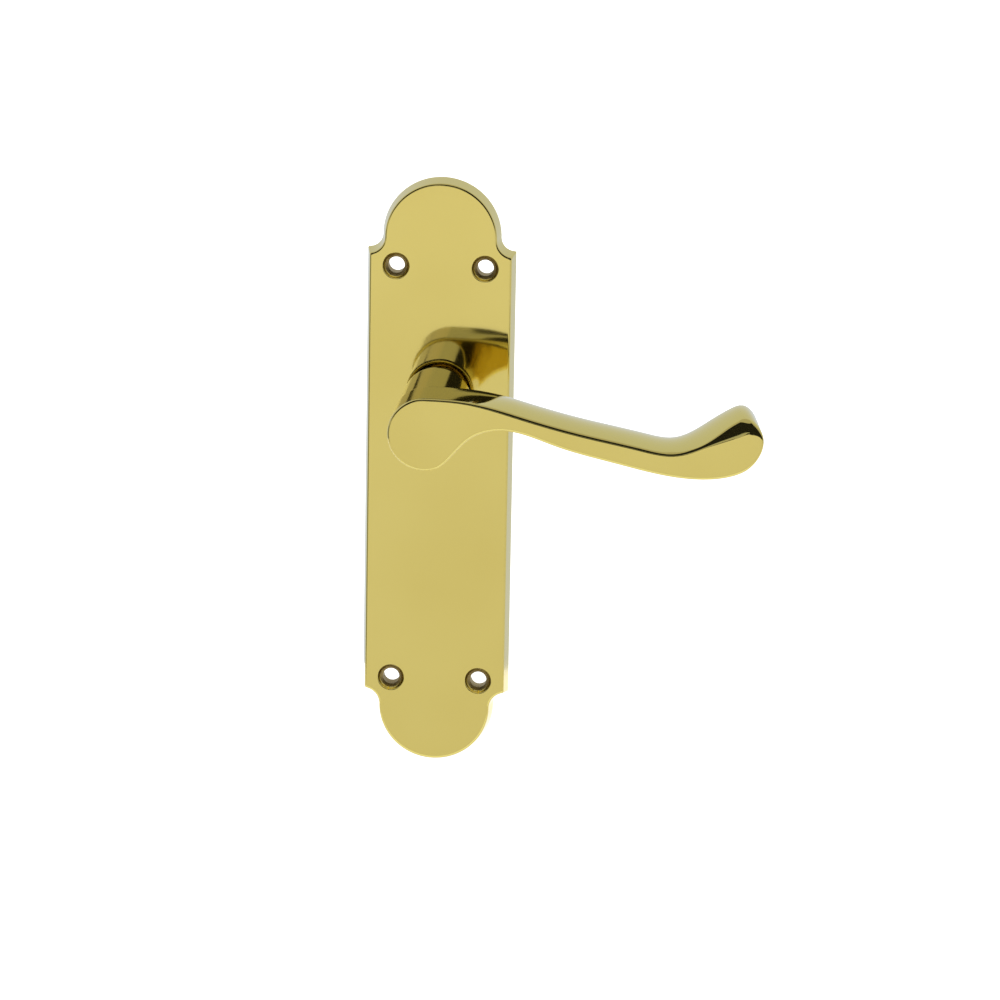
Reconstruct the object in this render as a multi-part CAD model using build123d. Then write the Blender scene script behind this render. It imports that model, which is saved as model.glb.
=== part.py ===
from build123d import *
import math
import os

# Scroll lever handle on a shaped latch backplate, millimetres.
# Origin: on the spindle axis, in the plane of the backplate's door side.
# +X runs along the lever towards its scroll, +Z is up, +Y goes into the door.

# Backplate
PLATE_HEIGHT = 165.0
PLATE_WIDTH = 40.4
PLATE_DEPTH = 5.0
PLATE_DRAFT = 1.0
PLATE_EDGE_RADIUS = 0.4
PLATE_CENTRE_Z = -22.3
FRONT_WALL = 1.6
ARCH_RADIUS = 15.1
COVE_RADIUS = 4.72

# Screw holes
HOLE_SPACING_X = 24.2
HOLE_SPACING_Z = 116.9
SCREW_HOLE_RADIUS = 2.25
COUNTERSINK_RADIUS = 3.6
SCREW_BOSS_RADIUS = 5.2

# Cast ring and ribs in the hollow back
HUB_RING_INNER = 15.2
HUB_RING_WALL = 1.4
RIB_WIDTH = 1.4
RIB_SETBACK = 0.8
CROSS_RIB_Z = -46.0
POCKET_INSET = 2.2

# Lever
LEVER_FRONT_Y = -45.0
LEVER_DEPTH = 14.0
EYE_RADIUS = 9.9
LEVER_FRONT_EDGE = 1.2
LEVER_JOIN_ANGLE = -76.0
LEVER_UPPER = ((13.0, 9.6), (28.6, 6.4), (46.8, 1.9), (62.0, -1.4), (71.0, -0.1), (79.1, 5.3))
LEVER_CREST = (84.1, 7.1)
LEVER_TIP = (90.1, 1.3)
LEVER_LOWER = ((73.0, -9.8), (61.0, -8.8), (34.6, -2.9), (20.3, 0.9), (12.2, -1.3))
NECK_RADIUS = 9.4
NECK_BACK_Y = -8.0
NECK_EDGE = 0.7
JOURNAL_RADIUS = 6.9
JOURNAL_BACK_Y = -5.15
STEM_RADIUS = 6.3
STEM_END_Y = 2.3

# Square drive in the lever
SPINDLE_SIZE = 8.0
SPINDLE_LENGTH = 100.0
SPINDLE_CLEARANCE = 0.05
SPINDLE_CHAMFER = 0.8
SPINDLE_CORNER = 0.9
SPINDLE_GRIP = 36.0
SOCKET_DEPTH = 38.0
SOCKET_CORNER = 0.7

# Bearing bush
BUSH_FRONT_Y = -4.15
BUSH_BACK_Y = -2.6
BUSH_RUNNING_FIT = 0.05
BUSH_OUTER_RADIUS = 7.5
BUSH_FLANGE_RADIUS = 8.4
BUSH_LIP_RADIUS = 6.5
BUSH_SEAT_GAP = 0.03

# Drive cam
CAM_FRONT_Y = -2.55
CAM_ARM_FRONT_Y = -1.1
CAM_BACK_Y = -0.2
CAM_HUB_RADIUS = 8.0
CAM_ARM_RADIUS = 14.0
CAM_ARM_HALF_WIDTH = 2.2
CAM_REST_ANGLE = 90.0
CAM_FLAT = 5.6
CAM_FIT = 0.03

# Stops and spring anchor
PIN_RADIUS = 1.2
PIN_DISTANCE = 12.4
STOP_CLEARANCE = 0.05
LEVER_TRAVEL = 45.0
PIN_END_Y = -0.15
PIN_SEAT_DEPTH = 0.9
PIN_FIT = 0.02

# Return spring
SPRING_WIRE = 0.9
SPRING_RADIUS = 9.4
SPRING_FRONT_Y = -2.75
SPRING_BACK_Y = -1.67
SPRING_MOVING_ANGLE = 79.0
SPRING_SWEEP = 405.0
SPRING_LEG = 8.4
SPRING_LEG_END_Y = -0.4
SPRING_ANCHOR_REACH = 7.2
SPRING_ANCHOR_GAP = 0.03
SPRING_BEND = 0.9

# Retaining parts on the stem
DISC_SPRING_RADIUS = 8.0
DISC_SPRING_THICKNESS = 0.25
DISC_SPRING_HEIGHT = 0.4
GROOVE_FRONT_Y = 0.4
GROOVE_WIDTH = 1.1
GROOVE_RADIUS = 5.95
CIRCLIP_THICKNESS = 1.0
CIRCLIP_OUTER = 7.9
CIRCLIP_SHIFT = 0.35
CIRCLIP_LUG_RADIUS = 1.7
CIRCLIP_LUG_HOLE = 0.65
CIRCLIP_LUG_DISTANCE = 8.1
CIRCLIP_LUG_ANGLE = 17.0


def on_back(y):
    """Sketch plane at depth y whose local axes are X and Z and whose normal is +Y."""
    return Plane(origin=(0, y, 0), x_dir=(-1, 0, 0), z_dir=(0, 1, 0))


def on_front(y):
    """Sketch plane at depth y whose local axes are X and Z and whose normal is -Y."""
    return Plane(origin=(0, y, 0), x_dir=(1, 0, 0), z_dir=(0, -1, 0))


def disc(radius, y_front, y_back, x=0.0, z=0.0):
    """Solid cylinder along Y from y_front to y_back."""
    plane = on_front(y_back)
    return extrude(plane * Pos(x, z) * Circle(radius), amount=y_back - y_front)


def block(width, height, y_front, y_back, x=0.0, z=0.0):
    """Solid box with its middle at x, z, from y_front to y_back."""
    plane = on_front(y_back)
    return extrude(plane * Pos(x, z) * Rectangle(width, height), amount=y_back - y_front)


def plate_outline(inset):
    """Closed outline of the backplate, pulled in by inset: arches, coves and straight sides."""
    half_width = PLATE_WIDTH / 2 - inset
    arch = ARCH_RADIUS + PLATE_DRAFT - inset
    cove = COVE_RADIUS - PLATE_DRAFT + inset
    arch_z = PLATE_HEIGHT / 2 - PLATE_DRAFT - ARCH_RADIUS
    turn = math.acos((half_width - arch) / cove - 1)
    shoulder_z = arch_z - cove * math.sin(turn)
    middle = math.radians(180) + (math.pi - turn) / 2
    cove_x = arch + cove + cove * math.cos(middle)
    cove_z = arch_z + cove * math.sin(middle)
    top = ThreePointArc((arch, arch_z), (0, arch_z + arch), (-arch, arch_z))
    bottom = ThreePointArc((-arch, -arch_z), (0, -arch_z - arch), (arch, -arch_z))
    edges = [top, bottom]
    for side in (1, -1):
        edges.append(Line((side * half_width, shoulder_z), (side * half_width, -shoulder_z)))
        for end in (1, -1):
            corner = (side * half_width, end * shoulder_z)
            bend = (side * cove_x, end * cove_z)
            spring_line = (side * arch, end * arch_z)
            edges.append(ThreePointArc(corner, bend, spring_line))
    return Pos(0, PLATE_CENTRE_Z) * make_face(edges)


def screw_places():
    """Centres of the four screw holes."""
    xs = (-HOLE_SPACING_X / 2, HOLE_SPACING_X / 2)
    zs = (PLATE_CENTRE_Z - HOLE_SPACING_Z / 2, PLATE_CENTRE_Z + HOLE_SPACING_Z / 2)
    return [(x, z) for x in xs for z in zs]


def make_backplate():
    """Cast backplate: drafted shaped outline, hollow back, bosses, ribs and holes."""
    back = on_front(0) * plate_outline(0)
    front = on_front(-PLATE_DEPTH) * plate_outline(PLATE_DRAFT)
    plate = loft([back, front], ruled=True)
    plate = fillet(plate.faces().sort_by(Axis.Y)[0].edges(), PLATE_EDGE_RADIUS)
    floor_y = FRONT_WALL - PLATE_DEPTH
    pocket = extrude(on_front(0) * plate_outline(POCKET_INSET), amount=-floor_y)
    plate -= pocket
    plate += hub_ring(floor_y)
    plate += back_ribs(floor_y) & pocket
    for x, z in screw_places():
        plate += disc(SCREW_BOSS_RADIUS, floor_y, 0, x, z)
    for x, z in screw_places():
        plate -= screw_hole(x, z)
    plate -= disc(BUSH_LIP_RADIUS, -PLATE_DEPTH, 0)
    plate -= disc(BUSH_OUTER_RADIUS + BUSH_SEAT_GAP, BUSH_FRONT_Y - BUSH_SEAT_GAP, 0)
    for x, z in pin_places():
        plate -= disc(PIN_RADIUS + PIN_FIT, floor_y - PIN_SEAT_DEPTH - PIN_FIT, floor_y, x, z)
    return plate


def hub_ring(floor_y):
    """Round wall of the cavity that holds the spring and the cam."""
    ring = disc(HUB_RING_INNER + HUB_RING_WALL, floor_y, 0)
    return ring - disc(HUB_RING_INNER, floor_y, 0)


def back_ribs(floor_y):
    """Stiffening ribs across the hollow back, open inside the hub ring."""
    ribs = block(RIB_WIDTH, PLATE_HEIGHT, floor_y, -RIB_SETBACK, 0, PLATE_CENTRE_Z)
    for z in (screw_places()[0][1], CROSS_RIB_Z, screw_places()[1][1]):
        ribs += block(PLATE_WIDTH, RIB_WIDTH, floor_y, -RIB_SETBACK, 0, z)
    return ribs - disc(HUB_RING_INNER, floor_y, 0)


def screw_hole(x, z):
    """Clearance hole with a 90 degree countersink open to the front."""
    sink_depth = COUNTERSINK_RADIUS - SCREW_HOLE_RADIUS
    sink_plane = Plane(origin=(x, -PLATE_DEPTH + sink_depth / 2, z), z_dir=(0, -1, 0))
    sink = sink_plane * Cone(SCREW_HOLE_RADIUS, COUNTERSINK_RADIUS, sink_depth)
    return disc(SCREW_HOLE_RADIUS, -PLATE_DEPTH, 0, x, z) + sink


def stop_place(angle, side):
    """Centre of the stop pin that the cam arm meets when it points along angle."""
    reach = CAM_ARM_HALF_WIDTH + PIN_RADIUS + STOP_CLEARANCE
    turn = math.radians(angle)
    x = PIN_DISTANCE * math.cos(turn) - side * reach * math.sin(turn)
    z = PIN_DISTANCE * math.sin(turn) + side * reach * math.cos(turn)
    return x, z


def spring_start():
    """Point where the fixed leg leaves the coil, and the leg's direction, in X and Z."""
    turn = math.radians(SPRING_MOVING_ANGLE + SPRING_SWEEP)
    point = (SPRING_RADIUS * math.cos(turn), SPRING_RADIUS * math.sin(turn))
    return point, (-math.sin(turn), math.cos(turn))


def anchor_place():
    """Centre of the pin that holds the fixed leg of the return spring."""
    (x, z), (leg_x, leg_z) = spring_start()
    offset = SPRING_WIRE / 2 + PIN_RADIUS + SPRING_ANCHOR_GAP
    anchor_x = x + SPRING_ANCHOR_REACH * leg_x + offset * leg_z
    anchor_z = z + SPRING_ANCHOR_REACH * leg_z - offset * leg_x
    return anchor_x, anchor_z


def pin_places():
    """Centres of the rest stop, the limit stop and the spring anchor."""
    rest_stop = stop_place(CAM_REST_ANGLE, 1)
    limit_stop = stop_place(CAM_REST_ANGLE - LEVER_TRAVEL, -1)
    return [rest_stop, limit_stop, anchor_place()]


def make_pin(place):
    """Steel pin seated in the floor of the cavity, with a small chamfer on its free end."""
    seat_y = FRONT_WALL - PLATE_DEPTH - PIN_SEAT_DEPTH
    pin = disc(PIN_RADIUS, seat_y, PIN_END_Y, *place)
    return chamfer(pin.faces().sort_by(Axis.Y)[-1].edges(), PIN_RADIUS / 6)


def make_hub_bush():
    """Flanged plastic bush that the lever's stem turns in."""
    floor_y = FRONT_WALL - PLATE_DEPTH
    bush = disc(BUSH_OUTER_RADIUS, BUSH_FRONT_Y, BUSH_BACK_Y)
    bush += disc(BUSH_FLANGE_RADIUS, floor_y + BUSH_SEAT_GAP, BUSH_BACK_Y)
    return bush - disc(STEM_RADIUS + BUSH_RUNNING_FIT, BUSH_FRONT_Y, BUSH_BACK_Y)


def lever_outline():
    """Outline of the lever seen from the front: round eye, tapering arm and scrolled end."""
    join = math.radians(LEVER_JOIN_ANGLE)
    join_point = (EYE_RADIUS * math.cos(join), EYE_RADIUS * math.sin(join))
    join_direction = (math.sin(join), -math.cos(join))
    eye = ThreePointArc(join_point, (-EYE_RADIUS, 0), (0, EYE_RADIUS))
    upper = Spline((0, EYE_RADIUS), *LEVER_UPPER, LEVER_CREST, tangents=[(1, 0), (1, 0)])
    end = Spline(LEVER_CREST, LEVER_TIP, tangents=[(1, 0), (0, -1)])
    lower = Spline(LEVER_TIP, *LEVER_LOWER, join_point, tangents=[(0, -1), join_direction])
    return make_face([eye, upper, end, lower])


def make_lever():
    """Cast lever: flat-fronted arm, round neck, journal and stem with a square socket."""
    arm = extrude(on_front(LEVER_FRONT_Y + LEVER_DEPTH) * lever_outline(), amount=LEVER_DEPTH)
    arm = fillet(arm.faces().sort_by(Axis.Y)[0].edges(), LEVER_FRONT_EDGE)
    neck = disc(NECK_RADIUS, LEVER_FRONT_Y + LEVER_FRONT_EDGE, NECK_BACK_Y)
    neck = chamfer(neck.faces().sort_by(Axis.Y)[-1].edges(), NECK_EDGE)
    lever = arm + neck
    lever += disc(JOURNAL_RADIUS, NECK_BACK_Y, JOURNAL_BACK_Y)
    lever += disc(STEM_RADIUS, JOURNAL_BACK_Y, STEM_END_Y)
    lever -= stem_flats(CAM_FLAT, CAM_FRONT_Y)
    groove_back_y = GROOVE_FRONT_Y + GROOVE_WIDTH
    groove = disc(STEM_RADIUS, GROOVE_FRONT_Y, groove_back_y)
    groove -= disc(GROOVE_RADIUS, GROOVE_FRONT_Y, groove_back_y)
    lever -= groove
    socket_size = SPINDLE_SIZE + 2 * SPINDLE_CLEARANCE
    socket = block(socket_size, socket_size, STEM_END_Y - SOCKET_DEPTH, STEM_END_Y)
    socket = fillet(socket.edges().filter_by(Axis.Y), SOCKET_CORNER)
    return lever - socket


def stem_flats(half_width, y_front):
    """Material outside the two driving flats, from y_front to the end of the stem."""
    outside = disc(CAM_HUB_RADIUS, y_front, STEM_END_Y)
    return outside - block(2 * half_width, 2 * CAM_HUB_RADIUS, y_front, STEM_END_Y)


def make_drive_cam():
    """Steel cam keyed on the stem's flats, with one arm that meets the stops and the spring."""
    cam = disc(CAM_HUB_RADIUS, CAM_FRONT_Y, CAM_BACK_Y)
    arm_width = 2 * CAM_ARM_HALF_WIDTH
    arm = block(arm_width, CAM_ARM_RADIUS, CAM_ARM_FRONT_Y, CAM_BACK_Y, 0, CAM_ARM_RADIUS / 2)
    cam += arm & disc(CAM_ARM_RADIUS, CAM_ARM_FRONT_Y, CAM_BACK_Y)
    bore = disc(STEM_RADIUS + CAM_FIT, CAM_FRONT_Y, CAM_BACK_Y)
    bore -= stem_flats(CAM_FLAT + CAM_FIT, CAM_FRONT_Y)
    return cam - bore


def make_return_spring():
    """Torsion spring of a little over one turn, with a tangent leg and a leg along the axis."""
    rise = SPRING_BACK_Y - SPRING_FRONT_Y
    coil = Edge.make_helix(rise * 360 / SPRING_SWEEP, rise, SPRING_RADIUS, normal=(0, 1, 0))
    first = coil @ 0
    (x, z), _ = spring_start()
    turn = math.degrees(math.atan2(z, x) - math.atan2(first.Z, first.X))
    coil = Pos(0, SPRING_FRONT_Y, 0) * Rot(0, -turn, 0) * coil
    leg = Line(coil @ 0 - SPRING_LEG * (coil % 0), coil @ 0)
    along = coil % 1
    inward = (Vector(0, 1, 0) - along * along.Y).normalized()
    centre = coil @ 1 + SPRING_BEND * inward
    bend_angle = math.acos(along.Y)
    bend_points = [coil @ 1]
    for angle in (bend_angle / 2, bend_angle):
        bend_points.append(centre + SPRING_BEND * (along * math.sin(angle) - inward * math.cos(angle)))
    bend = ThreePointArc(*bend_points)
    end = bend @ 1
    upright = Line(end, (end.X, SPRING_LEG_END_Y, end.Z))
    path = Wire([leg.edge(), coil, bend.edge(), upright.edge()])
    section = Plane(origin=path @ 0, z_dir=path % 0) * Circle(SPRING_WIRE / 2)
    return sweep(section, path=path, is_frenet=False)


def make_disc_spring():
    """Conical spring washer that takes up the end play."""
    inner = STEM_RADIUS + BUSH_RUNNING_FIT
    front_y = CAM_BACK_Y + PIN_FIT
    cone = [
        (inner, front_y + DISC_SPRING_HEIGHT - DISC_SPRING_THICKNESS),
        (inner, front_y + DISC_SPRING_HEIGHT),
        (DISC_SPRING_RADIUS, front_y + DISC_SPRING_THICKNESS),
        (DISC_SPRING_RADIUS, front_y),
    ]
    return revolve(make_face(Polyline(*cone, close=True)), Axis.Y)


def make_circlip():
    """External retaining ring with two eared ends."""
    lug_angle = math.radians(CIRCLIP_LUG_ANGLE)
    lug_x = CIRCLIP_LUG_DISTANCE * math.sin(lug_angle)
    lug_z = -CIRCLIP_LUG_DISTANCE * math.cos(lug_angle)
    ring = Pos(0, CIRCLIP_SHIFT) * Circle(CIRCLIP_OUTER)
    for side in (1, -1):
        ring += Pos(side * lug_x, lug_z) * Circle(CIRCLIP_LUG_RADIUS)
    for side in (1, -1):
        ring -= Pos(side * lug_x, lug_z) * Circle(CIRCLIP_LUG_HOLE)
    ring -= Circle(GROOVE_RADIUS + PIN_FIT)
    opening = lug_x - CIRCLIP_LUG_RADIUS / 2
    ring -= Pos(0, -CIRCLIP_OUTER) * Rectangle(2 * opening, CIRCLIP_OUTER)
    front_y = GROOVE_FRONT_Y + (GROOVE_WIDTH - CIRCLIP_THICKNESS) / 2
    return extrude(on_front(front_y + CIRCLIP_THICKNESS) * ring, amount=CIRCLIP_THICKNESS)


def make_spindle():
    """Square steel spindle with rounded corners and chamfered ends."""
    start_y = STEM_END_Y - SPINDLE_GRIP
    bar = block(SPINDLE_SIZE, SPINDLE_SIZE, start_y, start_y + SPINDLE_LENGTH)
    bar = fillet(bar.edges().filter_by(Axis.Y), SPINDLE_CORNER)
    ends = bar.faces().sort_by(Axis.Y)
    return chamfer(ends[0].edges() + ends[-1].edges(), SPINDLE_CHAMFER)


def main():
    """Build every node and write one STEP file for each."""
    rest_pin, limit_pin, anchor_pin = pin_places()
    nodes = {
        "backplate": make_backplate(),
        "hub_bush": make_hub_bush(),
        "rest_stop_pin": make_pin(rest_pin),
        "limit_stop_pin": make_pin(limit_pin),
        "spring_anchor_pin": make_pin(anchor_pin),
        "return_spring": make_return_spring(),
        "lever": make_lever(),
        "drive_cam": make_drive_cam(),
        "disc_spring_washer": make_disc_spring(),
        "circlip": make_circlip(),
        "spindle": make_spindle(),
    }
    os.makedirs("parts", exist_ok=True)
    for name, solid in nodes.items():
        export_step(solid, f"parts/{name}.step")


main()
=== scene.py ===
"""Scroll lever handle on a shaped latch backplate: the visible skins, finishes and studio."""
import logging
import math
from dataclasses import dataclass, field
from enum import Enum
from typing import Callable, ClassVar, Sequence

import bmesh
import bpy
import numpy as np
from mathutils import Matrix, Vector


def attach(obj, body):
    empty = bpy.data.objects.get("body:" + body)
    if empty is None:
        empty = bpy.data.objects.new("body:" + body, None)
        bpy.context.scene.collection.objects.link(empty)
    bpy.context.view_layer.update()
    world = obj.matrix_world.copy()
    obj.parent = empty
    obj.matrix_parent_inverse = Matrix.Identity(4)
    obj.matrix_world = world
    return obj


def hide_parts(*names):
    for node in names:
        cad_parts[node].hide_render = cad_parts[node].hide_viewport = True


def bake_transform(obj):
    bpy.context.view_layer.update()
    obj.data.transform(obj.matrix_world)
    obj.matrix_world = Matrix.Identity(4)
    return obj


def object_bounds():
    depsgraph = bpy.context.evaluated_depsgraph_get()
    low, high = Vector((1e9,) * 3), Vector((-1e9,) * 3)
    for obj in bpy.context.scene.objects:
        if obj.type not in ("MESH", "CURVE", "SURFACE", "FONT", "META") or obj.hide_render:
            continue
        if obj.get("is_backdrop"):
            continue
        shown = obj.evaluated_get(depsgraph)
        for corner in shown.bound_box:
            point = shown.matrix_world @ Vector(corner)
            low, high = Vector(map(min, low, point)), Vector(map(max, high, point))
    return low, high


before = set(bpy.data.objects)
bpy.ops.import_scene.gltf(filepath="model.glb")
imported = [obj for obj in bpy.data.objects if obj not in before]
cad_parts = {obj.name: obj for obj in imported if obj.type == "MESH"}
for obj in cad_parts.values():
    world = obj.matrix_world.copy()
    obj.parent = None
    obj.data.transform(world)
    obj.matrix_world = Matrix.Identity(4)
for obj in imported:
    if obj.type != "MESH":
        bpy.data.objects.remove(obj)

LOG = logging.getLogger("lever_handle")
MM = 0.001
MERGE_DISTANCE = 0.002 * MM
RIGHT_ANGLE = math.pi / 2
Point = tuple[float, float]
Triple = tuple[float, float, float]
Relief = tuple[float, float, float, float]
Loop = list[Vector]


class Body(Enum):
    """The rigid bodies that new pieces ride on."""

    PLATE = "plate"
    HANDLE = "handle"


class Slot(Enum):
    """The record's material slots that new pieces use."""

    BRASS = "polished_brass"
    SPRING = "spring_steel"


class Cut(Enum):
    """How one solid changes another."""

    JOIN = "UNION"
    REMOVE = "DIFFERENCE"


def deselect_all() -> None:
    """Leaves nothing selected, so that an operator acts only on its own piece."""
    bpy.ops.object.select_all(action="DESELECT")


def smoothstep(value: float, low: float, high: float) -> float:
    """Rises smoothly from 0 at low to 1 at high."""
    share = min(max((value - low) / (high - low), 0.0), 1.0)
    return share * share * (3.0 - 2.0 * share)


def circle_loop(radius: float, depth: float, count: int, centre: Point = (0.0, 0.0)) -> Loop:
    """Points round the Y direction.

    Args:
        radius: the circle's radius, in metres.
        depth: its place along Y.
        count: how many points it has.
        centre: its middle in X and Z.

    Returns:
        The points in order.
    """
    turns = [2.0 * math.pi * step / count for step in range(count)]
    return [
        Vector((centre[0] + radius * math.cos(turn), depth, centre[1] + radius * math.sin(turn)))
        for turn in turns
    ]


def quarter_turn(steps: int) -> list[float]:
    """Angles from 0 to 90 degrees, in radians, both ends included."""
    return [RIGHT_ANGLE * step / steps for step in range(steps + 1)]


def lathe_loops(profile: Sequence[Point], count: int, centre: Point = (0.0, 0.0)) -> list[Loop]:
    """Circles for a turned shape whose profile is a row of (radius, depth) pairs."""
    return [circle_loop(radius, depth, count, centre) for radius, depth in profile]


def select_ring(mesh: bmesh.types.BMesh, ring: Sequence[int]) -> None:
    """Selects the points of one ring and the edges between them, and nothing else.

    Args:
        mesh: the mesh being edited.
        ring: indices of the ring's points.
    """
    for part in (*mesh.faces, *mesh.edges, *mesh.verts):
        part.select = False
    mesh.verts.ensure_lookup_table()
    chosen = set(ring)
    for index in ring:
        mesh.verts[index].select = True
    for edge in mesh.edges:
        if all(vert.index in chosen for vert in edge.verts):
            edge.select = True
    mesh.select_flush_mode()


def skin(name: str, loops: Sequence[Loop]) -> bpy.types.Object:
    """Draws a closed surface through a row of loops, by extruding a circle from loop to loop.

    Args:
        name: the new piece's name.
        loops: rings with the same number of points each; the first and the last get a face across them.

    Returns:
        The new piece, in object mode, with its place in its mesh.
    """
    deselect_all()
    count = len(loops[0])
    bpy.ops.mesh.primitive_circle_add(vertices=count, radius=1.0, fill_type="NOTHING")
    piece = bpy.context.active_object
    piece.name = name
    piece.data.name = name
    bpy.ops.object.mode_set(mode="EDIT")
    bpy.ops.mesh.select_mode(type="VERT")
    mesh = bmesh.from_edit_mesh(piece.data)
    mesh.verts.ensure_lookup_table()
    ring = ring_in_order(mesh)
    for index, place in zip(ring, loops[0]):
        mesh.verts[index].co = place
    first = list(ring)
    for loop in loops[1:]:
        select_ring(mesh, ring)
        bmesh.update_edit_mesh(piece.data)
        bpy.ops.mesh.extrude_edges_move()
        mesh = bmesh.from_edit_mesh(piece.data)
        mesh.verts.index_update()
        mesh.verts.ensure_lookup_table()
        ring = [moved_twin(mesh.verts[index]) for index in ring]
        for index, place in zip(ring, loop):
            mesh.verts[index].co = place
    for end in (first, ring):
        select_ring(mesh, end)
        bmesh.update_edit_mesh(piece.data)
        bpy.ops.mesh.edge_face_add()
        mesh = bmesh.from_edit_mesh(piece.data)
    bpy.ops.mesh.select_all(action="SELECT")
    bpy.ops.mesh.normals_make_consistent(inside=False)
    bpy.ops.object.mode_set(mode="OBJECT")
    return piece


def ring_in_order(mesh: bmesh.types.BMesh) -> list[int]:
    """Walks along a circle's edges.

    Args:
        mesh: a mesh that holds only the circle.

    Returns:
        Indices of its points in order.
    """
    start = mesh.verts[0]
    ring = [start.index]
    edge = start.link_edges[0]
    vert = edge.other_vert(start)
    while vert is not start:
        ring.append(vert.index)
        edge = next(other for other in vert.link_edges if other is not edge)
        vert = edge.other_vert(vert)
    return ring


def moved_twin(vert: bmesh.types.BMVert) -> int:
    """Index of the selected point that an extrusion has just made from this one."""
    return next(edge.other_vert(vert).index for edge in vert.link_edges if edge.other_vert(vert).select)


def combine(target: bpy.types.Object, other: bpy.types.Object, cut: Cut) -> None:
    """Joins another solid to the target or takes it away, and deletes the other solid.

    Args:
        target: the solid that is changed.
        other: the solid that is used up.
        cut: whether it is joined or taken away.
    """
    deselect_all()
    target.select_set(True)
    bpy.context.view_layer.objects.active = target
    modifier = target.modifiers.new(cut.name.lower(), "BOOLEAN")
    modifier.operation = cut.value
    modifier.solver = "EXACT"
    modifier.object = other
    bpy.ops.object.modifier_apply(modifier=modifier.name)
    bpy.data.objects.remove(other)


def clean(piece: bpy.types.Object, angle: float) -> None:
    """Merges doubles, turns faces outwards and shades the piece smoothly.

    Args:
        piece: the piece to clean.
        angle: edges sharper than this many degrees stay sharp.
    """
    deselect_all()
    piece.select_set(True)
    bpy.context.view_layer.objects.active = piece
    bpy.ops.object.mode_set(mode="EDIT")
    bpy.ops.mesh.select_all(action="SELECT")
    bpy.ops.mesh.remove_doubles(threshold=MERGE_DISTANCE)
    bpy.ops.mesh.normals_make_consistent(inside=False)
    bpy.ops.object.mode_set(mode="OBJECT")
    bpy.ops.object.shade_smooth_by_angle(angle=math.radians(angle))


def even_normals(piece: bpy.types.Object) -> None:
    """Lets the large flat faces decide the shading at their own edges.

    Args:
        piece: the piece, already shaded smooth.
    """
    deselect_all()
    piece.select_set(True)
    bpy.context.view_layer.objects.active = piece
    modifier = piece.modifiers.new("even_normals", "WEIGHTED_NORMAL")
    modifier.keep_sharp = True
    modifier.weight = 100
    bpy.ops.object.modifier_apply(modifier=modifier.name)


def rounded_bar(name: str, size: Vector, middle: Vector, edge: float) -> bpy.types.Object:
    """A straight bar with rounded edges.

    Args:
        name: the new piece's name.
        size: its lengths along X, Y and Z.
        middle: its middle.
        edge: how wide its rounded edges are.

    Returns:
        The new piece, with its place in its mesh.
    """
    deselect_all()
    bpy.ops.mesh.primitive_cube_add(size=1.0)
    bar = bpy.context.active_object
    bar.name = name
    bar.data.transform(Matrix.Translation(middle) @ Matrix.Diagonal((*size, 1.0)))
    modifier = bar.modifiers.new("edge", "BEVEL")
    modifier.width = edge
    modifier.segments = 3
    bpy.ops.object.modifier_apply(modifier=modifier.name)
    return bar


def through(points: Sequence[Point], start: Point, end: Point, samples: int) -> np.ndarray:
    """Even-curvature line through points, with given directions at its ends.

    Args:
        points: the places that the line passes.
        start: unit direction at the first point.
        end: unit direction at the last point.
        samples: how many places are returned, ends included.

    Returns:
        An array of samples rows with two columns.
    """
    places = np.array(points, float)
    spans = np.linalg.norm(np.diff(places, axis=0), axis=1)
    knots = np.concatenate(([0.0], np.cumsum(spans)))
    size = len(places)
    system = np.eye(size)
    right = np.zeros((size, 2))
    right[0], right[-1] = start, end
    slopes = np.diff(places, axis=0) / spans[:, None]
    for row in range(1, size - 1):
        before, after = spans[row - 1], spans[row]
        system[row, row - 1 : row + 2] = after, 2.0 * (before + after), before
        right[row] = 3.0 * (after * slopes[row - 1] + before * slopes[row])
    gradients = np.linalg.solve(system, right)
    result = []
    for place in np.linspace(0.0, knots[-1], samples):
        span = min(int(np.searchsorted(knots, place, side="right")) - 1, size - 2)
        length = spans[span]
        share = (place - knots[span]) / length
        keep = (1.0 + 2.0 * share) * (1.0 - share) ** 2
        lead = share * (1.0 - share) ** 2 * length
        gain = share**2 * (3.0 - 2.0 * share)
        tail = share**2 * (share - 1.0) * length
        along = keep * places[span] + lead * gradients[span] + gain * places[span + 1]
        result.append(along + tail * gradients[span + 1])
    return np.array(result)


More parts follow.
